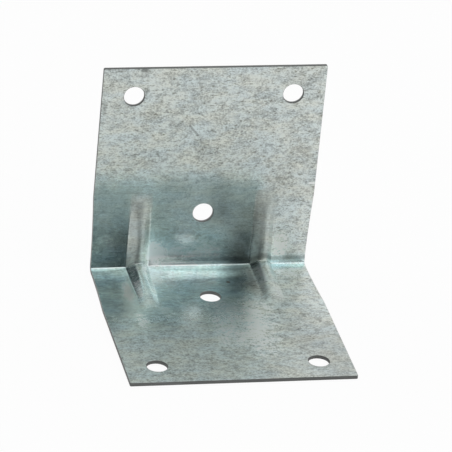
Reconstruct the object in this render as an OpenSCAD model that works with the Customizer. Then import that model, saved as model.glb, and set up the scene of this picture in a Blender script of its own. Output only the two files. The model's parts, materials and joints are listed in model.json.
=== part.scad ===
// Corner brace bracket: one square of galvanised sheet folded to a right angle,
// with three screw holes in each leg and two stiffening ribs pressed through the fold.
// The base leg lies on z = 0 and the back leg stands at its +Y end.

/* [Sheet] */
// Width of the sheet, along the fold
width = 60; // [48:1:120]
// Length of each leg, from the outer corner of the fold to its free end
leg = 60.5; // [45:0.5:120]
// Thickness of the sheet
sheet_t = 1; // [0.8:0.1:2]
// Radius of the two free corners of each leg
corner_r = 0.3; // [0.2:0.1:3]

/* [Fold] */
// Inner radius of the fold
bend_r = 0.8; // [0.4:0.1:1.3]
// How far each side edge is drawn in at the fold
waist_depth = 0.65; // [0.2:0.05:1.5]
// Distance from the fold at which the side edges run straight again
waist_reach = 21; // [12:1:24]

/* [Screw holes] */
// Diameter of the screw holes
hole_d = 5.5; // [3:0.1:6.5]
// Distance from the side edge to the centre of an end hole
hole_side = 8.6; // [5:0.1:14]
// Distance from the free end to the centre of an end hole
hole_end = 8.1; // [5:0.1:14]
// Distance from the outer corner of the fold to the centre of the middle hole
hole_fold = 17.3; // [8:0.1:28]

/* [Ribs] */
// Distance between the centre lines of the two ribs
rib_gap = 34; // [16:0.5:38]
// Width of a rib at the fold
rib_w = 6.6; // [5.6:0.1:8]
// Width of a rib at its two ends
rib_end_w = 5.7; // [5:0.1:8]
// Height of a rib above the sheet, at the fold
rib_h = 2.6; // [1.6:0.1:3]
// Length of a rib on each leg, from the inner corner of the fold
rib_reach = 20.5; // [10:0.5:26]
// Radius of the crest of a rib
rib_crest_r = 2; // [1.8:0.1:2.4]
// Radius of the foot of a rib, where it rises from the sheet
rib_foot_r = 0.6; // [0.4:0.1:0.8]

/* [Hidden] */

// Sides of the circles
$fn = 96;
// Sides of the two long arcs that draw in the side edges
waist_fn = 720;
// Inner corner of the fold, where the inner faces of both legs would meet
fold_y = leg / 2 - sheet_t;
fold_z = sheet_t;
// Distance from that corner to the free end of a leg
leg_end = leg - sheet_t;
// Each drawn-in edge is an arc as seen along the line that halves the fold's angle
waist_half = waist_reach / sqrt(2);
waist_r = (pow(waist_half, 2) + pow(waist_depth, 2)) / (2 * waist_depth);

// Steps along the crest arc, the foot arc and the length of a rib
crest_steps = 4;
foot_steps = 3;
reach_steps = 10;
// Depth by which the edge of a rib's surface dips below the face it rises from
rib_dip = 0.04 * sheet_t;
// Depth of the underside of a rib's metal, inside the sheet
rib_keel = 0.2 * sheet_t;
// Slope of a rib's flank, the line that touches both the crest arc and the foot arc
flank_drop = rib_h - rib_crest_r - rib_foot_r;
flank_span = norm([rib_w / 2, flank_drop]);
flank_slope = atan2(flank_drop, rib_w / 2) + asin((rib_crest_r + rib_foot_r) / flank_span);

// Right half of a rib's cross section, from the crest to the foot.
// Each station is [distance from the centre line, height, slope].
crest_half = [for (i = [0:crest_steps])
    let (slope = flank_slope * i / crest_steps)
    [rib_crest_r * sin(slope), rib_h - rib_crest_r * (1 - cos(slope)), slope]];
foot_half = [for (i = [foot_steps:-1:0])
    let (slope = flank_slope * i / foot_steps)
    [rib_w / 2 - rib_foot_r * sin(slope), rib_foot_r * (1 - cos(slope)), slope]];
half_section = concat(crest_half, foot_half);
half_count = len(half_section);
section = concat(
    [for (i = [half_count - 1:-1:1]) -1 * half_section[i] + [0, 2 * half_section[i][1], 0]],
    half_section);
section_count = len(section);

// Height of a rib at the share u of its length, as a share of its height at the fold
function rib_fade(u) = 1 - u * u;

// Width of a rib at that share, as a share of its width at the fold
function rib_taper(u) = 1 + (rib_end_w / rib_w - 1) * u;

// A point of a rib's surface, sunk by depth along the normal of the cross section.
// It is [x, distance along the leg, height]; at u = 0 it lies midway between the legs.
function rib_point(station, u, depth) =
    let (
        slope = atan(rib_fade(u) / rib_taper(u) * tan(station[2])),
        mitre = station[1] - depth * cos(station[2]) - rib_dip,
        along = mitre + (rib_reach - mitre) * u,
        height = station[1] * rib_fade(u) - depth * cos(slope) - rib_dip
    )
    [station[0] * rib_taper(u) - depth * sin(slope), along, height];

// From [x, distance along the leg, height] to places on the back leg and on the base leg
function on_back_leg(p) = [p[0], fold_y - p[2], fold_z + p[1]];
function on_base_leg(p) = [p[0], fold_y - p[1], fold_z + p[2]];

// One section of a rib's surface, down the back leg to the fold and out along the base leg
function rib_row(station, depth) = concat(
    [for (k = [reach_steps:-1:0]) on_back_leg(rib_point(station, k / reach_steps, depth))],
    [for (k = [1:reach_steps]) on_base_leg(rib_point(station, k / reach_steps, depth))]);

// Solid between a rib's surface, sunk by depth, and the level below the inner faces.
// Its points are the surface's rows, and then three on that level for each station:
// at the top of the back leg, at the fold and at the end of the base leg.
module rib_solid(depth, level) {
    fold_at = reach_steps;
    end_at = 2 * reach_steps;
    row = end_at + 1;
    surface = [for (station = section) each rib_row(station, depth)];
    floor_points = [for (station = section)
        let (end_x = station[0] * rib_taper(1))
        each [on_back_leg([end_x, rib_reach, -level]),
              on_back_leg([station[0], -level, -level]),
              on_base_leg([end_x, rib_reach, -level])]];
    floor_at = section_count * row;
    last = section_count - 1;
    surface_faces = [for (i = [0:last - 1], k = [0:end_at - 1])
        let (a = i * row + k, b = a + row)
        each [[a, b + 1, a + 1], [a, b, b + 1]]];
    level_faces = [for (i = [0:last - 1])
        let (
            top = i * row,
            end = top + end_at,
            floor_top = floor_at + 3 * i,
            floor_fold = floor_top + 1,
            floor_end = floor_top + 2
        )
        each [[top, floor_top, floor_top + 3], [top, floor_top + 3, top + row],
              [floor_top, floor_fold, floor_fold + 3], [floor_top, floor_fold + 3, floor_top + 3],
              [floor_fold, floor_end, floor_end + 3], [floor_fold, floor_end + 3, floor_fold + 3],
              [floor_end, end, end + row], [floor_end, end + row, floor_end + 3]]];
    side_faces = [for (i = [0, last])
        let (
            top = i * row,
            floor_top = floor_at + 3 * i,
            floor_fold = floor_top + 1,
            floor_end = floor_top + 2,
            side = concat(
                [for (k = [0:fold_at - 1]) [top + k, top + k + 1, floor_top]],
                [[top + fold_at, floor_fold, floor_top], [top + fold_at, floor_end, floor_fold]],
                [for (k = [fold_at:end_at - 1]) [top + k, top + k + 1, floor_end]])
        )
        each [for (face = side) i == 0 ? face : [face[2], face[1], face[0]]]];
    polyhedron(
        points = concat(surface, floor_points),
        faces = concat(surface_faces, level_faces, side_faces));
}

// Both ribs stand at the same distance from the middle of the bracket
module at_each_rib() {
    for (side = [-1, 1])
        translate([side * rib_gap / 2, 0, 0])
            children();
}

// Places children drawn on a flat leg, with y along it and z = 0 on its inner face, on both legs
module on_each_leg() {
    translate([0, fold_y, fold_z])
        rotate([90, 0, 0])
            children();
    translate([0, fold_y, fold_z])
        mirror([0, 1, 0])
            children();
}

// Side view of the folded sheet: two straight legs joined by the round fold
module side_profile() {
    outer_r = bend_r + sheet_t;
    translate([-leg / 2, 0])
        square([leg - outer_r, sheet_t]);
    translate([fold_y, outer_r])
        square([sheet_t, leg - outer_r]);
    translate([leg / 2 - outer_r, outer_r])
        intersection() {
            difference() {
                circle(r = outer_r);
                circle(r = bend_r);
            }
            translate([0, -outer_r])
                square(outer_r);
        }
}

module folded_sheet() {
    color("gainsboro")
        rotate([90, 0, 90])
            linear_extrude(height = width, center = true)
                side_profile();
}

// Metal of one rib, raised from the inner faces
module pressed_rib() {
    color("silver")
        rib_solid(0, rib_keel);
}

// Hollow that the same rib leaves in the outer faces, one sheet thickness below its surface
module rib_hollow() {
    rib_solid(sheet_t, 3 * sheet_t);
}

module screw_hole(x, along) {
    translate([x, along, -sheet_t / 2])
        cylinder(d = hole_d, h = 3 * sheet_t, center = true);
}

// Two holes near the free end of a leg and one on its middle line
module leg_holes() {
    for (side = [-1, 1])
        screw_hole(side * (width / 2 - hole_side), leg_end - hole_end);
    screw_hole(0, hole_fold - sheet_t);
}

// What is taken off to round the two free corners of a leg
module corner_offcuts() {
    for (side = [0, 1])
        mirror([side, 0, 0])
            translate([width / 2 - corner_r, leg_end - corner_r, -2 * sheet_t])
                linear_extrude(height = 3 * sheet_t)
                    difference() {
                        square(2 * corner_r);
                        circle(r = corner_r);
                    }
}

// What the fold draws in from the two side edges
module waist_offcuts() {
    for (side = [-1, 1])
        translate([side * (width / 2 - waist_depth + waist_r), fold_y, fold_z])
            rotate([45, 0, 0])
                cylinder(r = waist_r, h = 2 * waist_reach, center = true, $fn = waist_fn);
}

module bracket() {
    difference() {
        union() {
            folded_sheet();
            at_each_rib() pressed_rib();
        }
        at_each_rib() rib_hollow();
        on_each_leg() leg_holes();
        on_each_leg() corner_offcuts();
        waist_offcuts();
    }
}

bracket();
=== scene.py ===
import json
import math
import bpy
import bmesh
from mathutils import Matrix, Vector


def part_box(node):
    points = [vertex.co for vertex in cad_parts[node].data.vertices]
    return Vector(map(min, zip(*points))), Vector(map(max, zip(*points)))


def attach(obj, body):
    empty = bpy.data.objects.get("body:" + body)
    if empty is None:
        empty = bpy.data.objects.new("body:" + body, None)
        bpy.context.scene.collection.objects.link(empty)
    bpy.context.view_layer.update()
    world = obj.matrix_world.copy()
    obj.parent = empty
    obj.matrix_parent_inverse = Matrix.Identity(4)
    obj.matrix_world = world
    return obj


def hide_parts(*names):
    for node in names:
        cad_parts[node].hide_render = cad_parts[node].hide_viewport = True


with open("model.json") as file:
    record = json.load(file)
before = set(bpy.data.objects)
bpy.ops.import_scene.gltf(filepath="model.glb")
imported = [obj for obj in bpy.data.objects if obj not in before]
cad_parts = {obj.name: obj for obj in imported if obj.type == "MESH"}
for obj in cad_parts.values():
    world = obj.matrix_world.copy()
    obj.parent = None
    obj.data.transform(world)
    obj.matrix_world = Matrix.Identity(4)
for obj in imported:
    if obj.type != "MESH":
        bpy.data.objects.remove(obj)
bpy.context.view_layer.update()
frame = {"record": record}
sheetLow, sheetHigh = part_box("bracket")
mounts = {mount["name"]: mount for mount in frame["record"]["mounts"]}
print("frame loaded: the packed bracket and its mounts")


# Node maths written as plain expressions

class Field:
    def __init__(self, maker, socket):
        self.maker = maker
        self.socket = socket

    def math(self, operation, *others):
        values = dict(enumerate((self,) + others))
        return self.maker.add("ShaderNodeMath", {"operation": operation}, values)

    def __add__(self, other): return self.math("ADD", other)
    def __radd__(self, other): return self.math("ADD", other)
    def __mul__(self, other): return self.math("MULTIPLY", other)
    def __rmul__(self, other): return self.math("MULTIPLY", other)
    def __sub__(self, other): return self.math("SUBTRACT", other)
    def __rsub__(self, other): return self.math("MULTIPLY", -1.0) + other
    def __truediv__(self, other): return self.math("DIVIDE", other)
    def __pow__(self, other): return self.math("POWER", other)
    def __abs__(self): return self.math("ABSOLUTE")

    def atLeast(self, other): return self.math("MAXIMUM", other)
    def atMost(self, other): return self.math("MINIMUM", other)
    def below(self, other): return self.math("LESS_THAN", other)

    def output(self, name):
        return Field(self.maker, self.socket.node.outputs[name])

    # 0 below low, 1 above high and smooth between them
    def between(self, low, high):
        values = {"Value": self, "From Min": low, "From Max": high}
        return self.maker.add("ShaderNodeMapRange", {"interpolation_type": "SMOOTHSTEP"}, values)


class Maker:
    def __init__(self, tree):
        self.tree = tree

    # settings come first, then the sockets' values or links
    def add(self, kind, settings=None, sockets=None, output=0):
        node = self.tree.nodes.new(kind)
        for name, value in (settings or {}).items():
            setattr(node, name, value)
        for key, value in (sockets or {}).items():
            if isinstance(value, Field):
                self.tree.links.new(value.socket, node.inputs[key])
            else:
                node.inputs[key].default_value = value
        return Field(self, node.outputs[output])

    # the tree's last node, which takes the finished geometry or surface
    def end(self, kind, result):
        node = self.tree.nodes.new(kind)
        self.tree.links.new(result.socket, node.inputs[0])

    def vector(self, operation, *values):
        return self.add("ShaderNodeVectorMath", {"operation": operation}, dict(enumerate(values)))

    def join(self, x, y, z):
        return self.add("ShaderNodeCombineXYZ", {}, {0: x, 1: y, 2: z})

    # colour a where the mask is 0 and colour b where it is 1
    def mixColour(self, mask, a, b, blend="MIX"):
        settings = {"data_type": "RGBA", "blend_type": blend}
        return self.add("ShaderNodeMix", settings, {0: mask, 6: a, 7: b}, output=2)


# The flat blank: a grid of square cells with round holes punched in it

bracketSheet = {
    "cornerRadius": 0.0003,      # round on the free corners
    "edgeRound": 0.00007,        # rolled edge that the shears leave
    "edgeSlack": 0.000006,       # keeps the uneven sheet inside the solid's box
    "holeRound": 0.00017,        # rolled edge that the punch leaves
    "edgeSupport": 0.00012,      # narrow band that keeps the flat faces flat in the shading
    "rimSteps": 3,               # faces across a rolled edge
    "holePatch": 0.0040,         # half side of the square of cells round a hole
    "foldRadius": 0.0008,        # inner radius of the fold
    "waistDepth": 0.00065,       # how far the side edges are drawn in at the fold
    "waistReach": 0.021,
    "ribGap": 0.034,             # between the centre lines of the two ribs
    "ribWidth": 0.0066,
    "ribEndWidth": 0.0057,
    "ribHeight": 0.0025,
    "ribReach": 0.0205,
    "ribEndBlend": 0.28,         # how softly a rib runs out at its ends
    "crestRadius": 0.0020,
    "footRadius": 0.0006,
    "creaseRadius": 0.00030,     # where a rib's crest folds over itself
    "flareHeight": 0.00036,      # soft rise of the sheet round the foot of a rib
    "flareWidth": 0.0028,
    "pullHeight": 0.00042,       # how far both legs lean in at the fold
    "pullTilt": 38.0,            # the lean is stronger at the left rib than at the right one
    "pullLeast": 0.5,            # but never less than this share
    "pullSide": 0.0125,          # it fades from here, towards the left edge
    "pullSideFade": 0.88,
    "pullReach": 0.0050,         # how far it reaches on the base leg
    "pullSkew": 0.06,            # further on the left than on the right
    "pullCurve": 1.15,
    "backPullReach": 0.0030,     # how far it reaches on the back leg
    "backPullCurve": 1.2,
    "waistBlend": 0.15,          # how softly the side edges run straight again
    "waistCurve": 5,             # how close to the side edges the sheet is drawn in
    "waveHeight": 0.00003,       # unevenness of the pressed sheet
    "waveScale": 90.0,
    "waveDetail": 1.5,
    "waveStart": 0.004,          # the fold itself stays even up to here
    "slopeStep": 0.00004,        # step at which the surface's slope is taken
}
bracketSheet["thickness"] = mounts["back_middle_hole"]["dims"]["length_mm"] / 1000
bracketSheet["halfWidth"] = (sheetHigh.x - sheetLow.x) / 2
bracketSheet["foldY"] = sheetHigh.y - bracketSheet["thickness"]
bracketSheet["foldZ"] = sheetLow.z + bracketSheet["thickness"]

# sizes of the blank's cells, small where the sheet bends and larger where it stays flat
blankCells = {
    "fold": 0.00007,             # along the sheet, from the fold outwards
    "foldSide": 0.0001,
    "besideFold": 0.0003,
    "besideFoldStart": 0.0022,   # where the cells of that size start
    "alongRib": 0.0005,
    "alongRibStart": 0.0045,
    "beyondRib": 0.0011,
    "beyondRibStart": 1.25,      # as a share of the rib's reach
    "middle": 0.0008,            # across the sheet, from the middle outwards
    "acrossRib": 0.00022,
    "acrossRibReach": 0.62,      # to both sides of a rib's centre line, as a share of its width
    "besideRib": 0.0007,
    "flat": 0.0009,              # in both directions
    "corner": 0.00012,
    "ringShares": (0.3, 0.62),   # rings between a hole and the square round it
    "nearly": 1e-6,              # lengths closer than this are taken as the same
}

# length of sheet saved by going round the fold instead of into its corner
foldSaving = bracketSheet["foldRadius"] * (1 - math.pi / 4)
flatEnd = sheetHigh.z - bracketSheet["foldZ"] - foldSaving


# centres of the holes on the flat blank, with v = 0 at the fold and v > 0 on the back leg
def holeCentres():
    centres = []
    for name, mount in mounts.items():
        dims = mount["dims"]
        if not name.endswith(("holes", "hole")):
            continue
        if name.startswith("back"):
            along = mount["pos_m"][2] - bracketSheet["foldZ"] - foldSaving
        else:
            along = mount["pos_m"][1] - bracketSheet["foldY"] + foldSaving
        half = dims.get("spacing_x_mm", 0) / 1000 / 2
        radius = dims.get("hole_r_mm", dims.get("r_mm")) / 1000
        for side in ((-1, 1) if half else (0,)):
            centres.append((side * half, along, radius))
    return centres


# grid lines through the stops, mirrored to both sides of zero
def gridLines(stops):
    lines = []
    for (start, step), (end, _) in zip(stops, stops[1:]):
        count = max(1, round((end - start) / step))
        lines += [start + (end - start) * i / count for i in range(count)]
    lines.append(stops[-1][0])
    return [-line for line in lines[:0:-1]] + lines


# rounds the blank's corners: squares of the corner's size become quarter discs
def roundCorner(u, v, edgeU, edgeV, radius):
    overU = (abs(u) - edgeU + radius) / radius
    overV = (abs(v) - edgeV + radius) / radius
    if overU <= 0 or overV <= 0:
        return u, v, None
    roundU = overU * math.sqrt(1 - overV * overV / 2)
    roundV = overV * math.sqrt(1 - overU * overU / 2)
    placeU = math.copysign(edgeU - radius + roundU * radius, u)
    placeV = math.copysign(edgeV - radius + roundV * radius, v)
    return placeU, placeV, (math.copysign(roundU, u), math.copysign(roundV, v))


# the rolled edge, straight wall and far rolled edge, as (outward, depth) from the inset outline
def rimProfile(roll, depth, steps):
    turns = [math.radians(90 * (i + 1) / steps) for i in range(steps)]
    near = [(roll * math.sin(turn), roll * (1 - math.cos(turn))) for turn in turns]
    return near + [(out, depth - deep) for out, deep in reversed(near)]


# the grid's lines across and along the sheet; a stop is a place and the cells' size from there on
def blankLines(size, cells, holes, edgeU, edgeV):
    support, patch = size["edgeSupport"], size["holePatch"]
    ribIn = size["ribGap"] / 2 - size["ribWidth"] * cells["acrossRibReach"]
    ribOut = size["ribGap"] / 2 + size["ribWidth"] * cells["acrossRibReach"]
    sideHole = max(hole[0] for hole in holes)
    farHole = max(hole[1] for hole in holes)
    nearHole = min(hole[1] for hole in holes if hole[1] > 0)

    def edgeStops(edge):
        start = edge - size["cornerRadius"]
        return [(start, cells["corner"]), (edge - support, support), (edge, support)]

    uStops = [(0, cells["middle"]), (patch, cells["flat"]), (ribIn, cells["acrossRib"]),
              (sideHole - patch, cells["acrossRib"]), (ribOut, cells["besideRib"]),
              (sideHole + patch, cells["flat"]), *edgeStops(edgeU)]
    vStops = [(0, cells["fold"]), (size["foldRadius"], cells["foldSide"]),
              (cells["besideFoldStart"], cells["besideFold"]), (cells["alongRibStart"], cells["alongRib"]),
              (nearHole - patch, cells["alongRib"]), (nearHole + patch, cells["alongRib"]),
              (size["ribReach"] * cells["beyondRibStart"], cells["beyondRib"]),
              (farHole - patch, cells["flat"]), (farHole + patch, cells["flat"]), *edgeStops(edgeV)]
    return gridLines(uStops), gridLines(vStops)


# rings of cells from a hole out to the square round it; gives the hole's edge as a loop
def holeRings(hole, square, size, cells, places, faces):
    holeU, holeV, radius = hole
    ringRadius, support = radius + size["holeRound"], size["edgeSupport"]
    steps = [(0, 0), (0, support)] + [(share, support) for share in cells["ringShares"]]
    rings = []
    for share, step in steps:
        ring = []
        for angle, number in square:
            u = holeU + (ringRadius + step) * math.cos(angle)
            v = holeV + (ringRadius + step) * math.sin(angle)
            squareU, squareV = places[number]
            ring.append(len(places))
            places.append((u + (squareU - u) * share, v + (squareV - v) * share))
        rings.append(ring)
    rings.append([number for _, number in square])
    count = len(square)
    for inner, outer in zip(rings, rings[1:]):
        for k in range(count):
            following = (k + 1) % count
            faces.append([inner[k], outer[k], outer[following], inner[following]])
    return [(rings[0][k], (-math.cos(square[k][0]), -math.sin(square[k][0])))
            for k in reversed(range(count))]


# gives the flat cells their thickness, and closes the outline and each hole with a rolled edge
def closedShell(size, places, faces, loops):
    depth, count = size["thickness"], len(places)
    points = [(u, v, 0.0) for u, v in places] + [(u, v, -depth) for u, v in places]
    shell = faces + [[number + count for number in reversed(face)] for face in faces]
    for loop, roll in loops:
        rows = [[number for number, _ in loop]]
        for out, deep in rimProfile(roll, depth, size["rimSteps"]):
            row = []
            for number, outward in loop:
                u, v = places[number]
                row.append(len(points))
                points.append((u + outward[0] * out, v + outward[1] * out, -deep))
            rows.append(row)
        rows.append([number + count for number, _ in loop])
        for upper, lower in zip(rows, rows[1:]):
            for k in range(len(loop)):
                following = (k + 1) % len(loop)
                shell.append([upper[k], lower[k], lower[following], upper[following]])
    return points, shell


def flatBlank(size, cells, holes):
    edgeU = size["halfWidth"] - size["edgeRound"] - size["edgeSlack"]
    edgeV = flatEnd - size["edgeRound"] - size["edgeSlack"]
    patch, endRound, nearly = size["holePatch"], size["cornerRadius"], cells["nearly"]
    uLines, vLines = blankLines(size, cells, holes, edgeU, edgeV)
    places, faces, numbers = [], [], {}

    def inPatch(u, v, reach):
        return any(abs(u - hole[0]) < reach and abs(v - hole[1]) < reach for hole in holes)

    for i, u in enumerate(uLines):
        for j, v in enumerate(vLines):
            if not inPatch(u, v, patch - nearly):
                placeU, placeV, _ = roundCorner(u, v, edgeU, edgeV, endRound)
                numbers[i, j] = len(places)
                places.append((placeU, placeV))
    for i in range(len(uLines) - 1):
        for j in range(len(vLines) - 1):
            middleU = (uLines[i] + uLines[i + 1]) / 2
            middleV = (vLines[j] + vLines[j + 1]) / 2
            if not inPatch(middleU, middleV, patch):
                corners = ((i, j), (i + 1, j), (i + 1, j + 1), (i, j + 1))
                faces.append([numbers[corner] for corner in corners])

    # the outline as a loop of points, each with its way outwards
    lastU, lastV = len(uLines) - 1, len(vLines) - 1
    outline = [(i, 0) for i in range(lastU)] + [(lastU, j) for j in range(lastV)]
    outline += [(i, lastV) for i in range(lastU, 0, -1)] + [(0, j) for j in range(lastV, 0, -1)]
    loop = []
    for i, j in outline:
        _, _, outward = roundCorner(uLines[i], vLines[j], edgeU, edgeV, endRound)
        if outward is None:
            outward = ((i == lastU) - (i == 0), (j == lastV) - (j == 0))
        loop.append((numbers[i, j], outward))
    loops = [(loop, size["edgeRound"])]

    for hole in holes:
        square = sorted(
            (math.atan2(vLines[j] - hole[1], uLines[i] - hole[0]), number)
            for (i, j), number in numbers.items()
            if abs(max(abs(uLines[i] - hole[0]), abs(vLines[j] - hole[1])) - patch) < nearly)
        rim = holeRings(hole, square, size, cells, places, faces)
        loops.append((rim, size["holeRound"]))

    points, shell = closedShell(size, places, faces, loops)
    mesh = bpy.data.meshes.new("bracketBlank")
    mesh.from_pydata(points, [], shell)
    markBlank(mesh, points, 2 * len(places))
    blank = bmesh.new()
    blank.from_mesh(mesh)
    bmesh.ops.recalc_face_normals(blank, faces=blank.faces)
    blank.to_mesh(mesh)
    blank.free()
    mesh.shade_smooth()
    return mesh


# keeps each point's place on the flat sheet, and marks the points of the sheared edges
def markBlank(mesh, points, cutStart):
    mesh.attributes.new("sheetPlace", "FLOAT_VECTOR", "POINT")
    mesh.attributes.new("shearedEdge", "FLOAT", "POINT")
    place = mesh.attributes["sheetPlace"].data
    sheared = mesh.attributes["shearedEdge"].data
    for number, point in enumerate(points):
        place[number].vector = point
        sheared[number].value = float(number >= cutStart)


# The fold: a rule that bends the blank and presses the ribs through it

# slope of a rib's flank, the line that touches both its crest arc and its foot arc
def flankSlope(size):
    drop = size["ribHeight"] - size["crestRadius"] - size["footRadius"]
    half = size["ribWidth"] / 2
    lean = math.asin((size["crestRadius"] + size["footRadius"]) / math.hypot(half, drop))
    return math.atan2(drop, half) + lean


# height of the rib's cross section, at a distance from its centre line
def ribSection(aside, size, slope):
    crestEdge = size["Crest radius"] * math.sin(slope)
    footEdge = size["Foot radius"] * math.sin(slope)
    inside = (size["Rib width"] / 2 - aside).atLeast(0)
    crestSide = aside.atMost(crestEdge)
    crestDrop = size["Crest radius"] - (size["Crest radius"] ** 2 - crestSide * crestSide) ** 0.5
    crest = size["Rib height"] - crestDrop - (aside - crestEdge).atLeast(0) * math.tan(slope)
    footSide = inside.atMost(footEdge)
    footRise = size["Foot radius"] - (size["Foot radius"] ** 2 - footSide * footSide).atLeast(0) ** 0.5
    foot = footRise + (inside - footEdge).atLeast(0) * math.tan(slope)
    onCrest = aside.below((crestEdge + size["Rib width"] / 2 - footEdge) / 2)
    return foot + (crest - foot) * onCrest


# how far a leg leans in close to the fold, most of all at the left rib
def foldPull(u, straight, onBack, size, place):
    reach = size["Pull reach"] - u * place["pullSkew"]
    reach = reach + (size["Back pull reach"] - reach) * onBack
    curve = place["pullCurve"] + (place["backPullCurve"] - place["pullCurve"]) * onBack
    lean = size["Pull height"] * (1 - u * place["pullTilt"]).atLeast(place["pullLeast"])
    leftward = (u * -1).between(place["pullSide"], size["Rib gap"] / 2)
    lean = lean * (1 - leftward * place["pullSideFade"])
    return lean * (1 - straight / reach).atLeast(0) ** curve


# where the point u, v of the blank's inner face comes to lie, as a vector in the part's frame;
# along is its distance down or up the leg from the inner corner, and height is above the leg
def pressedPoint(maker, u, v, size, place):
    quarter = math.pi / 4
    arcHalf = size["Fold radius"] * quarter
    away = abs(v)
    straight = (away - arcHalf).atLeast(0)
    run = straight / (size["Rib reach"] - size["Fold radius"])
    share = run.atMost(1)
    taper = 1 + (size["Rib end width"] / size["Rib width"] - 1) * share
    aside = abs(abs(u) - size["Rib gap"] / 2) / taper
    section = ribSection(aside, size, place["slope"])
    beside = (aside - size["Rib width"] / 2).atLeast(0) / size["Flare width"]
    flare = size["Flare height"] * (beside * -1).math("EXPONENT")
    rise = section + flare
    crease = (size["Fold radius"] - rise).atLeast(place["creaseRadius"])
    start = rise + crease
    fade = (1 - run * run).math("SMOOTH_MAX", 0.0, size["Rib end blend"])
    turn = quarter - (away / arcHalf).atMost(1) * quarter
    along = start - crease * turn.math("SINE") + (size["Rib reach"] - start) * share
    along = along + (straight - size["Rib reach"] + size["Fold radius"]).atLeast(0)
    height = start - crease * turn.math("COSINE") - rise + section * fade + flare * fade * fade

    # the leg leans in, waves a little and is drawn in at its sides
    onBack = (v * -1).below(0)
    lean = foldPull(u, straight, onBack, size, place)
    along = along + lean
    height = height + lean
    values = {"Vector": maker.join(u, v, 0), "Scale": place["waveScale"], "Detail": place["waveDetail"]}
    wave = maker.add("ShaderNodeTexNoise", {}, values)
    height = height + wave * size["Wave height"] * (straight / place["waveStart"]).atMost(1)
    drawn = (1 - (along / size["Waist reach"]) ** 2).math("SMOOTH_MAX", 0.0, place["waistBlend"])
    x = u - drawn * size["Waist depth"] * (u / place["halfWidth"]) ** place["waistCurve"]
    y = place["foldY"] - (along + (height - along) * onBack)
    z = place["foldZ"] + (height + (along - height) * onBack)
    return maker.join(x, y, z)


def foldingTree(material, inputs, place):
    tree = bpy.data.node_groups.new("foldAndPress", "GeometryNodeTree")
    face = tree.interface
    face.new_socket(name="Blank", in_out="INPUT", socket_type="NodeSocketGeometry")
    for name in inputs:
        face.new_socket(name=name, in_out="INPUT", socket_type="NodeSocketFloat")
    face.new_socket(name="Bracket", in_out="OUTPUT", socket_type="NodeSocketGeometry")
    maker = Maker(tree)
    blank = maker.add("NodeGroupInput")
    size = {name: blank.output(name) for name in inputs}
    flat = maker.add("ShaderNodeSeparateXYZ", {}, {0: maker.add("GeometryNodeInputPosition")})
    u, v, depth = flat, flat.output("Y"), flat.output("Z")
    step = place["slopeStep"]
    here = pressedPoint(maker, u, v, size, place)
    beside = pressedPoint(maker, u + step, v, size, place)
    beyond = pressedPoint(maker, u, v + step, size, place)
    across = maker.vector("SUBTRACT", beside, here)
    onward = maker.vector("SUBTRACT", beyond, here)
    normal = maker.vector("NORMALIZE", maker.vector("CROSS_PRODUCT", across, onward))
    below = maker.vector("MULTIPLY", normal, maker.join(depth, depth, depth))
    pressed = maker.vector("ADD", here, below)
    folded = maker.add("GeometryNodeSetPosition", {}, {"Geometry": blank, "Position": pressed})
    real = maker.add("GeometryNodeRealizeInstances", {}, {0: folded})
    coated = maker.add("GeometryNodeSetMaterial", {}, {"Geometry": real, "Material": material})
    maker.end("NodeGroupOutput", coated)
    return tree


def foldedBracket(material):
    size = bracketSheet
    inputs = {
        "Fold radius": size["foldRadius"], "Rib gap": size["ribGap"], "Rib width": size["ribWidth"],
        "Rib end width": size["ribEndWidth"], "Rib height": size["ribHeight"],
        "Rib reach": size["ribReach"], "Rib end blend": size["ribEndBlend"],
        "Crest radius": size["crestRadius"], "Foot radius": size["footRadius"],
        "Flare height": size["flareHeight"], "Flare width": size["flareWidth"],
        "Pull height": size["pullHeight"], "Pull reach": size["pullReach"],
        "Back pull reach": size["backPullReach"], "Wave height": size["waveHeight"],
        "Waist depth": size["waistDepth"], "Waist reach": size["waistReach"],
    }
    place = {**size, "slope": flankSlope(size)}
    blank = bpy.data.objects.new("blank", flatBlank(size, blankCells, holeCentres()))
    bpy.context.scene.collection.objects.link(blank)
    tree = foldingTree(material, inputs, place)
    modifier = blank.modifiers.new("foldAndPress", "NODES")
    modifier.node_group = tree
    for item in tree.interface.items_tree:
        if item.in_out == "INPUT" and item.name in inputs:
            modifier[item.identifier] = inputs[item.name]
    graph = bpy.context.evaluated_depsgraph_get()
    mesh = bpy.data.meshes.new_from_object(blank.evaluated_get(graph), depsgraph=graph)
    blank.modifiers.remove(modifier)
    bpy.data.objects.remove(blank)
    piece = bpy.data.objects.new("bracketSheet", mesh)
    bpy.context.scene.collection.objects.link(piece)
    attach(piece, "root")
    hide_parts("bracket")
    print("bracket folded:", len(mesh.polygons), "faces")
    return piece


# Galvanised zinc: matte and mottled, but burnished where the press held the sheet

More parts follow.
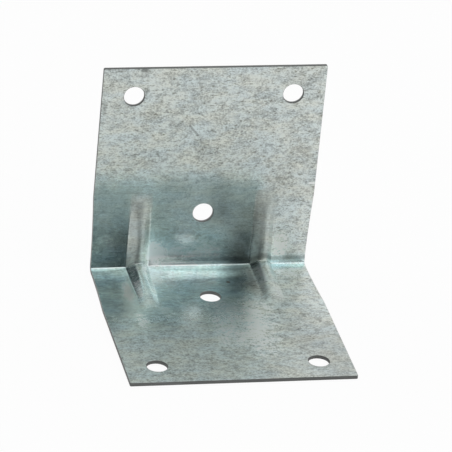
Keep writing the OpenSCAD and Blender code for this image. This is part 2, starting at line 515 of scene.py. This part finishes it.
zincCoat = {
    "matte": (0.695, 0.740, 0.716, 1),
    "burnished": (0.668, 0.800, 0.798, 1),
    "pressed": (0.520, 0.568, 0.544, 1),  # darker on the ribs: painted shade for the darker room their flanks mirror, on the smoother finish where the ribs were drawn over the tool
    "sheared": (0.17, 0.175, 0.17),       # bare steel on the cut edges
    "speck": (0.50, 0.49, 0.45, 1),       # multiplies the coat's colour, as warm and cool do
    "warm": (1.03, 1.00, 0.955, 1),
    "cool": (0.965, 1.00, 1.035, 1),
    "whitest": (0.93, 0.95, 0.94),        # no metal is paler than this
    "brightest": 1.18,                    # where the coat's tone levels off
    "brightestBlend": 0.1,
    "mottle": 1.70,                       # contrast of the grain
    "fineMottle": 1.25,
    "crystal": 0.30,                      # contrast between one zinc crystal and the next
    "blot": 0.22,
    "cloud": 0.30,
    "streak": 0.50,                       # contrast of the rolling lines
    "matteStreak": 0.5,                   # their share where the coat is matte
    "burnishedCalm": 0.55,                # how much of the grain the press tool rubbed away
    "pressedCalm": 0.45,
    "shearedLeast": 0.6,                  # the cut edges are streaked from this tone up
    "shearedStreak": 0.8,
    "matteRoughness": 0.42,
    "burnishedRoughness": 0.17,
    "grainRoughness": 0.18,               # how much the grain changes the roughness
    "shearedRoughness": 0.12,             # added on the cut edges
    "relief": 0.000012,                   # height of the grain
    "lineRelief": 0.5,                    # height of the lines and depth of the specks, beside it
    "speckRelief": 0.4,
    "innerDepth": (-0.6, -0.3),           # below this, in millimetres, the coat is the outer face's
    "wander": 9.0,                        # how far the worn places' edges wander, in millimetres
    "crystalSwirl": 1.6,                  # how far the grain bends the crystals' outlines
    "crystalStretch": (0.75, 1.0, 1.0),
    "crystalScale": 0.55,
    "crystalSmoothness": 0.3,
    "blotRange": (0.30, 0.42),            # values of the patterns at which these appear
    "speckRange": (0.31, 0.43),
    "tintRange": (0.3, 0.7),
    "raggedRange": (0.42, 0.60),
}

# stretch, scale, detail and roughness of each pattern, on millimetres of the flat sheet
zincPatterns = {
    "clouds": ((0.8, 1.0, 1.0), 0.16, 2.0, 0.5),
    "grain": ((0.70, 1.0, 1.0), 0.90, 5.0, 0.68),
    "fineGrain": ((0.80, 1.1, 1.0), 2.3, 1.0, 0.5),
    "blots": ((0.85, 1.0, 1.0), 0.55, 3.0, 0.6),
    "dashes": ((0.55, 1.7, 1.0), 1.25, 2.0, 0.6),
    "lines": ((0.07, 1.0, 1.0), 1.7, 3.0, 0.7),
    "tints": ((0.5, 1.0, 1.0), 0.21, 3.0, 0.6),
}

# All places below are in millimetres on the flat sheet, from the middle of the fold: u to the
# right, v up the back leg and out down the base leg. A pair is where a soft edge begins and ends.

# where the press tool rubbed the coat, and the painted shade in the fold
rubbedPlaces = {
    "baseSide": 12.5,                     # right side of the smooth part of the base leg
    "baseLean": 0.13,
    "baseEdge": (-4.0, 3.5),
    "baseEnd": (13, 42),                  # it thins out towards the free end
    "baseThin": 0.82,
    "backTop": (22.5, 31.5),
    "backWander": 0.35,
    "backSide": (13.5, 17.5),
    "cornerSide": (22, 27),               # fainter, to the right of the right rib
    "cornerTop": (6, 14),
    "cornerShare": 0.3,
    "foldSide": (1.2, 4.0),
    "dull": ((-13.0, 4.0), (5.5, 6.0)),   # spot that stays matte, at the left rib's foot
    "dullShare": 0.8,
    "ribSide": (2.2, 3.5),                # from a rib's centre line
    "ribEnd": (19, 24),
    "ribThin": 0.6,                       # less on the base leg
    "foldLine": (0.7, 1.4),               # painted shade in the fold itself, a little darker, but not on the right
    "foldLineSide": (15, 18),
    "foldLineDark": 0.08,
}

# lighter and darker places; most are painted highlights and painted shade standing in for what the bracket
# mirrors, while the stripe, the free corner and the patch beyond the middle hole are just lighter or darker
toneAndPaintedLightPlaces = {
    "stripeSide": 12.5,                   # pale ragged stripe down the base leg
    "stripeSideOut": 22,
    "stripeLean": 0.15,
    "stripeWander": 0.4,
    "stripeEdge": (1.5, 6.0),
    "stripeStart": (17, 24),
    "stripeEnd": (43, 52),
    "stripeLight": 0.04,
    "stripeRagged": 0.38,
    "cornerSide": (12, 24),               # right free corner of the base leg
    "cornerStart": (22, 42),
    "cornerDark": 0.22,
    "betweenSide": (13.0, 16.0),          # between the ribs, on both legs: painted highlight and painted shade
    "betweenTop": (12, 29),
    "betweenEnd": (9, 18),
    "glowTop": (2, 11),                   # painted highlight at the left of it
    "glowSide": (3, 11),
    "glowLight": 0.5,
    "dimSide": (3, 12),                   # painted shade at the right of it
    "dimSideHigh": (-5, 6),               # and further to the left higher up
    "dimRise": (8, 15),
    "dimDark": 0.42,
    "dimLeast": 0.04,
    "upperMiddle": -3,                    # painted shade over the back leg's middle hole
    "upperSide": (7, 13),
    "upperStart": (11, 18),
    "upperEnd": (24, 31),
    "upperDark": 0.22,
    "rightSide": (19, 21),                # painted highlight to the right of the right rib
    "rightTop": (14, 22),
    "rightLight": 0.1,
    "leftSide": (-22, -18),               # painted shade to the left of the left rib
    "leftStart": (8, 14),
    "leftEnd": (20, 28),
    "leftDark": 0.14,
    "middleSide": 4.5,                    # light beyond the base leg's middle hole
    "middleEdge": (4.5, 9.0),
    "middleStart": (13, 21),
    "middleEnd": (36, 47),
    "middleLight": 0.34,
    "flankSide": 17.0,                    # painted highlights on the left flanks of both ribs on the base leg
    "flankShift": 1.7,
    "flankEdge": (0.9, 1.8),
    "flankStart": (0, 1),
    "flankEnd": (9, 15),
    "flankLight": 0.45,
    "grimeSide": (-16, -13),              # painted shade: a dark line just above the fold
    "grimeStart": (0.8, 1.5),
    "grimeEnd": (1.9, 3.0),
    "grimeDark": 0.42,
    "glints": [                           # painted highlights: centre, half axes and strength
        ((-13.0, 3.5), (4.5, 5.0), 0.65),
        ((22.0, 5.5), (3.0, 5.5), 0.40),
        ((24.5, -4.5), (5.5, 4.5), 0.25),
        ((14.4, 4.0), (1.2, 5.0), 0.50),
        ((-21.8, -12.5), (2.0, 8.0), 0.40),
        ((-13.5, -23.5), (2.5, 3.5), 0.30),
    ],
    "raggedGlint": ((-20.7, -28.0), (2.4, 6.0), 0.60),
}

# single marks: centre and half axes, or the two ends of the scratch and its width
zincMarks = {
    "topNick": ((-19.2, 58.9), (1.6, 0.9)),
    "scratch": ((-6.1, 42.8), (-3.0, 38.9), 0.42),
    "scratchShare": 0.75,
    "scratchFade": 0.6,                   # it runs out over this length at its ends
    "scratchCore": 0.3,
    "stain": ((27.3, 34.6), (1.3, 1.5)),
    "stainShare": 0.45,
    "markDark": 0.55,
    "edgeNick": ((28.9, 24.4), (1.5, 0.45)),
    "edgeNickLight": 0.8,
    "rust": ((6.4, -8.9), (0.75, 0.65)),
    "rustColour": (0.20, 0.13, 0.09, 1),
    "spotEdge": (0.35, 1.0),              # soft edge of every spot, as a share of its half axes
}


def noise(maker, place, stretch, scale, detail, roughness):
    stretched = maker.vector("MULTIPLY", place, stretch)
    values = {"Vector": stretched, "Scale": scale, "Detail": detail, "Roughness": roughness}
    return maker.add("ShaderNodeTexNoise", {}, values)


def scaleColour(maker, colour, factor):
    return maker.add("ShaderNodeVectorMath", {"operation": "SCALE"}, {0: colour, 3: factor})


# 1 from the first soft edge to the second one
def band(value, start, end):
    return value.between(*start) * (1 - value.between(*end))


# 1 in an oval spot on the sheet, with a soft edge
def spot(u, v, place, size):
    across, along = (u - place[0]) / size[0], (v - place[1]) / size[1]
    return 1 - ((across * across + along * along) ** 0.5).between(*zincMarks["spotEdge"])


# 1 along a short straight line on the sheet
def scratch(u, v, start, end, width):
    length = math.dist(start, end)
    fade = zincMarks["scratchFade"]
    wayU, wayV = (end[0] - start[0]) / length, (end[1] - start[1]) / length
    along = (u - start[0]) * wayU + (v - start[1]) * wayV
    aside = abs((v - start[1]) * wayU - (u - start[0]) * wayV)
    ends = band(along, (0, fade), (length - fade, length))
    return (1 - aside.between(width * zincMarks["scratchCore"], width)) * ends


# 1 where the press tool rubbed the coat smooth: the fold, and the left and middle of both legs
def burnishedZone(u, v, wobble):
    places = rubbedPlaces
    onBase = v.below(0)
    side = places["baseSide"] + v * places["baseLean"] + wobble
    edge = [side + reach for reach in places["baseEdge"]]
    base = (1 - u.between(*edge)) * (1 - (v * -1).between(*places["baseEnd"]) * places["baseThin"])
    corner = (1 - u.between(*places["cornerSide"])) * (1 - v.between(*places["cornerTop"]))
    corner = corner * places["cornerShare"] * (1 - onBase)
    top = (v + wobble * places["backWander"]).between(*places["backTop"])
    back = (1 - top) * (1 - u.between(*places["backSide"]))
    fold = 1 - abs(v).between(*places["foldSide"])
    dull = spot(u, v, *places["dull"]) * places["dullShare"]
    return (back + (base - back) * onBase).atLeast(corner).atLeast(fold) * (1 - dull)


# 1 on the ribs, most of all on the back leg: their smoother pressed finish and their painted shade
def ribsPressedAndShaded(u, v):
    places = rubbedPlaces
    halfGap = bracketSheet["ribGap"] / 2 * 1000
    rib = (1 - abs(abs(u) - halfGap).between(*places["ribSide"])) * (1 - abs(v).between(*places["ribEnd"]))
    return rib * (1 - v.below(0) * places["ribThin"])


# lighter and darker places, as a factor of the coat's tone: mostly painted highlights and painted shade
def toneWithPaintedLight(u, v, wobble, ragged):
    places = toneAndPaintedLightPlaces
    out = v * -1
    onBack = 1 - v.below(0)

    lean = (out - places["stripeSideOut"]) * places["stripeLean"] - wobble * places["stripeWander"]
    aside = abs(u - places["stripeSide"] + lean)
    stripe = band(out, places["stripeStart"], places["stripeEnd"])
    stripe = (1 - aside.between(*places["stripeEdge"])) * stripe
    corner = (u + wobble).between(*places["cornerSide"]) * out.between(*places["cornerStart"])

    # painted highlight and painted shade between the ribs, near the fold
    between = (1 - abs(u).between(*places["betweenSide"])) * (1 - v.between(*places["betweenTop"]))
    between = between * (1 - out.between(*places["betweenEnd"]))
    glow = (1 - v.between(*places["glowTop"])) * (1 - u.between(*places["glowSide"])) * onBack
    rise = v.between(*places["dimRise"])
    dimEdge = [low + rise * (high - low) for low, high in zip(places["dimSide"], places["dimSideHigh"])]
    dim = u.between(*dimEdge) * places["dimDark"] + places["dimLeast"]

    # painted shade over the back leg's middle hole
    upper = 1 - abs(u - places["upperMiddle"]).between(*places["upperSide"])
    upper = upper * band(v, places["upperStart"], places["upperEnd"])
    # painted highlight to the right of the right rib
    right = u.between(*places["rightSide"]) * (1 - v.between(*places["rightTop"])) * onBack
    # painted shade to the left of the left rib
    left = (1 - u.between(*places["leftSide"])) * band(v, places["leftStart"], places["leftEnd"])
    middle = 1 - abs(u - places["middleSide"]).between(*places["middleEdge"])
    middle = middle * band(out, places["middleStart"], places["middleEnd"])
    # painted highlights on the ribs' left flanks
    flanks = abs(abs(u + places["flankShift"]) - places["flankSide"])
    flanks = (1 - flanks.between(*places["flankEdge"])) * band(out, places["flankStart"], places["flankEnd"])
    # painted shade in a dark line just above the fold
    paintedShadeAboveFold = band(v, places["grimeStart"], places["grimeEnd"]) * u.between(*places["grimeSide"])

    tone = 1 + stripe * (places["stripeLight"] + ragged * places["stripeRagged"])
    tone = tone - corner * places["cornerDark"] + between * (glow * places["glowLight"] - dim)
    tone = tone - left * places["leftDark"] - upper * places["upperDark"] + right * places["rightLight"]
    tone = tone + middle * places["middleLight"] + flanks * places["flankLight"]
    # painted highlights
    for centre, size, strength in places["glints"]:
        tone = tone + spot(u, v, centre, size) * strength
    centre, size, strength = places["raggedGlint"]
    tone = tone + spot(u, v, centre, size) * ragged * strength
    return tone * (1 - paintedShadeAboveFold * places["grimeDark"])


# the single marks of handling on the inner faces
def markedCoat(maker, u, v, inner, coat):
    marks = zincMarks
    dark = spot(u, v, *marks["topNick"]).atLeast(scratch(u, v, *marks["scratch"]) * marks["scratchShare"])
    dark = dark.atLeast(spot(u, v, *marks["stain"]) * marks["stainShare"])
    coat = scaleColour(maker, coat, 1 - dark * marks["markDark"] * inner)
    nick = spot(u, v, *marks["edgeNick"]) * marks["edgeNickLight"]
    coat = scaleColour(maker, coat, 1 + nick * inner)
    return maker.mixColour(spot(u, v, *marks["rust"]) * inner, coat, marks["rustColour"])


# how light each crystal is, from 0 to 1; the grain bends their outlines
def crystalTone(maker, millimetres, grain):
    look = zincCoat
    bend = scaleColour(maker, grain.output("Color"), look["crystalSwirl"])
    swirled = maker.vector("ADD", millimetres, bend)
    stretched = maker.vector("MULTIPLY", swirled, look["crystalStretch"])
    values = {"Vector": stretched, "Scale": look["crystalScale"], "Smoothness": look["crystalSmoothness"]}
    crystals = maker.add("ShaderNodeTexVoronoi", {"feature": "SMOOTH_F1"}, values, output="Color")
    return maker.add("ShaderNodeSeparateXYZ", {}, {0: crystals})


def zincMaterial():
    look = zincCoat
    material = bpy.data.materials.new("galvanisedZinc")
    material.use_nodes = True
    tree = material.node_tree
    tree.nodes.clear()
    maker = Maker(tree)
    onSheet = maker.add("ShaderNodeAttribute", {"attribute_name": "sheetPlace"}, output="Vector")
    sheared = maker.add("ShaderNodeAttribute", {"attribute_name": "shearedEdge"}, output="Fac")
    millimetres = maker.vector("MULTIPLY", onSheet, (1000, 1000, 1000))
    parts = maker.add("ShaderNodeSeparateXYZ", {}, {0: millimetres})
    u, v, depth = parts, parts.output("Y"), parts.output("Z")
    pattern = {name: noise(maker, millimetres, *values) for name, values in zincPatterns.items()}
    grain, blots, lines = pattern["grain"], pattern["blots"], pattern["lines"]
    crystal = crystalTone(maker, millimetres, grain)

    # zones of wear
    inner = depth.between(*look["innerDepth"])
    wobble = (pattern["clouds"] - 0.5) * look["wander"]
    # the ribs: a smoother pressed finish, and a darker colour that is painted shade
    pressed = ribsPressedAndShaded(u, v) * inner
    burnished = burnishedZone(u, v, wobble) * inner * (1 - pressed)
    calm = 1 - burnished * look["burnishedCalm"] - pressed * look["pressedCalm"]
    ragged = (blots * 0.5 + grain * 0.5).between(*look["raggedRange"])
    # painted shade along the fold, but not on the right
    foldLine = 1 - abs(v).between(*rubbedPlaces["foldLine"])
    foldLine = foldLine * (1 - u.between(*rubbedPlaces["foldLineSide"]))

    # how light the coat is
    speckle = (grain - 0.5) * look["mottle"] + (pattern["fineGrain"] - 0.5) * look["fineMottle"]
    speckle = speckle + (crystal - 0.5) * look["crystal"]
    streaks = (lines - 0.5) * look["streak"]
    streaks = streaks * (look["matteStreak"] + burnished * (1 - look["matteStreak"]))
    tone = 1 + speckle * calm + (pattern["clouds"] - 0.5) * look["cloud"] + streaks
    tone = tone.math("SMOOTH_MIN", look["brightest"], look["brightestBlend"])
    # painted shade in the fold
    tone = tone * (1 - foldLine * rubbedPlaces["foldLineDark"])
    tone = tone * (1 - (1 - blots.between(*look["blotRange"])) * look["blot"] * calm)
    # painted highlights and painted shade, with a few lighter and darker places
    tone = tone * (1 + (toneWithPaintedLight(u, v, wobble, ragged) - 1) * inner)

    # its colour
    specks = (1 - pattern["dashes"].between(*look["speckRange"])) * calm
    coat = maker.mixColour(burnished, look["matte"], look["burnished"])
    # the ribs' darker colour is painted shade
    coat = maker.mixColour(pressed, coat, look["pressed"])
    coat = scaleColour(maker, coat, tone)
    tint = maker.mixColour(pattern["tints"].between(*look["tintRange"]), look["cool"], look["warm"])
    coat = maker.mixColour(1.0, coat, tint, "MULTIPLY")
    coat = maker.mixColour(specks, coat, maker.mixColour(1.0, coat, look["speck"], "MULTIPLY"))
    coat = markedCoat(maker, u, v, inner, coat)
    coat = maker.vector("MINIMUM", coat, look["whitest"])
    steel = scaleColour(maker, look["sheared"], look["shearedLeast"] + lines * look["shearedStreak"])
    colour = maker.mixColour(sheared, coat, steel)

    # its shine and relief
    rough = look["matteRoughness"] + burnished * (look["burnishedRoughness"] - look["matteRoughness"])
    rough = rough + (grain - 0.5) * look["grainRoughness"] + sheared * look["shearedRoughness"]
    relief = grain + lines * look["lineRelief"] - specks * look["speckRelief"]
    bump = maker.add("ShaderNodeBump", {}, {"Strength": 1.0, "Distance": look["relief"], "Height": relief})
    surface = maker.add("ShaderNodeBsdfPrincipled", {}, {
        "Base Color": colour, "Metallic": 1.0, "Roughness": rough, "Normal": bump})
    maker.end("ShaderNodeOutputMaterial", surface)
    return material


foldedBracket(zincMaterial())


# Camera: a long lens above the free end of the base leg, a little to its left

cameraView = {
    "turn": 14.80,               # degrees to the left of straight on
    "rise": 28.16,               # degrees above the horizon
    "roll": 5.66,
    "distance": 1.1345,
    "lens": 337.2,               # millimetres, on a 36 mm sensor
    "aimRight": 0.007555,        # from the middle of the fold to the middle of the picture
    "aimUp": 0.010772,
    "nearest": 0.05,             # what the camera sees begins and ends here
    "farthest": 20.0,
}


def placeCamera():
    look = cameraView
    turn, rise, roll = (math.radians(look[name]) for name in ("turn", "rise", "roll"))
    ahead = Vector((math.sin(turn) * math.cos(rise), math.cos(turn) * math.cos(rise), -math.sin(rise)))
    level = Vector((math.cos(turn), -math.sin(turn), 0))
    upright = level.cross(ahead)
    right = math.cos(roll) * level + math.sin(roll) * upright
    up = math.cos(roll) * upright - math.sin(roll) * level
    fold = Vector((0, bracketSheet["foldY"], bracketSheet["foldZ"]))
    place = fold + look["aimRight"] * right + look["aimUp"] * up - look["distance"] * ahead
    camera = bpy.data.cameras.new("camera")
    camera.lens = look["lens"]
    camera.clip_start, camera.clip_end = look["nearest"], look["farthest"]
    holder = bpy.data.objects.new("camera", camera)
    turned = Matrix((right, up, -ahead)).transposed().to_4x4()
    holder.matrix_world = Matrix.Translation(place) @ turned
    bpy.context.scene.collection.objects.link(holder)
    bpy.context.scene.camera = holder


placeCamera()
print("camera placed")


# Studio: a white floor, a world with a dark and a bright side, and one soft lamp

studio = {
    "floorSize": 4.0,
    "floorColour": (0.9, 0.9, 0.9, 1),
    "shadowShare": 0.06,                  # how much of the bracket's shadow the floor shows
    "mirroredShadow": 0.6,                # and how much of it the bracket mirrors
    "backdrop": (0.86, 0.87, 0.87, 1),    # the world behind the bracket and overhead
    "frontLeft": (0.04, 0.05, 0.055, 1),  # the room behind the camera, up to the soft box
    "frontRight": (1.00, 1.05, 1.06, 1),
    "softBox": (1.0, 1.0, 1.0, 1),
    "ceiling": (0.42, 0.43, 0.43, 1),     # straight above, behind the lamp
    "roomTurn": (0.10, 0.62),             # from the room's left part to its right part
    "softBoxRise": (0.51, 0.65),          # from the room up to the soft box
    "backdropStart": (-0.45, 0.25),       # from the front to the backdrop
    "ceilingRise": (0.80, 0.93),
    "worldStrength": 1.0,
    "lampPlace": (0.1, -0.1, 0.9),
    "lampAim": (0, 0, 0.02),
    "lampSize": 0.7,
    "lampPower": 1.05,
}


def paleFloor():
    half = studio["floorSize"] / 2
    mesh = bpy.data.meshes.new("floor")
    corners = [(-half, -half, 0), (half, -half, 0), (half, half, 0), (-half, half, 0)]
    mesh.from_pydata(corners, [], [[0, 1, 2, 3]])
    floor = bpy.data.objects.new("floor", mesh)
    bpy.context.scene.collection.objects.link(floor)
    material = bpy.data.materials.new("palePaper")
    material.use_nodes = True
    tree = material.node_tree
    tree.nodes.clear()
    maker = Maker(tree)
    paper = maker.add("ShaderNodeBsdfDiffuse", {}, {"Color": studio["floorColour"]})
    white = maker.add("ShaderNodeEmission", {}, {"Color": (1, 1, 1, 1), "Strength": 1.0})
    rays = maker.add("ShaderNodeLightPath", output="Is Camera Ray")
    mirrored = rays.output("Is Glossy Ray").atLeast(rays.output("Is Transmission Ray"))
    seen = (rays * (1 - studio["shadowShare"])).atLeast(mirrored * (1 - studio["mirroredShadow"]))
    shown = maker.add("ShaderNodeMixShader", {}, {0: seen, 1: paper, 2: white})
    maker.end("ShaderNodeOutputMaterial", shown)
    mesh.materials.append(material)


def paleWorld():
    world = bpy.data.worlds.new("studio")
    bpy.context.scene.world = world
    world.use_nodes = True
    tree = world.node_tree
    tree.nodes.clear()
    maker = Maker(tree)
    direction = maker.add("ShaderNodeTexCoord", output="Generated")
    way = maker.add("ShaderNodeSeparateXYZ", {}, {0: direction})
    x, y, z = way, way.output("Y"), way.output("Z")
    heading = x / (x * x + y * y).atLeast(0.0001) ** 0.5
    turned = heading.between(*studio["roomTurn"])
    room = maker.mixColour(turned, studio["frontLeft"], studio["frontRight"])
    front = maker.mixColour(z.between(*studio["softBoxRise"]), room, studio["softBox"])
    level = maker.mixColour(y.between(*studio["backdropStart"]), front, studio["backdrop"])
    colour = maker.mixColour(z.between(*studio["ceilingRise"]), level, studio["ceiling"])
    around = maker.add("ShaderNodeBackground", {}, {0: colour, 1: studio["worldStrength"]})
    maker.end("ShaderNodeOutputWorld", around)


# a soft square lamp that looks at the bracket
def softLamp():
    lamp = bpy.data.lights.new("topLamp", "AREA")
    lamp.shape, lamp.size, lamp.energy = "SQUARE", studio["lampSize"], studio["lampPower"]
    holder = bpy.data.objects.new("topLamp", lamp)
    holder.location = studio["lampPlace"]
    aim = Vector(studio["lampAim"]) - Vector(studio["lampPlace"])
    holder.rotation_euler = aim.to_track_quat("-Z", "Y").to_euler()
    bpy.context.scene.collection.objects.link(holder)


paleFloor()
paleWorld()
softLamp()
bpy.context.scene.view_settings.view_transform = "Standard"
print("studio lit")
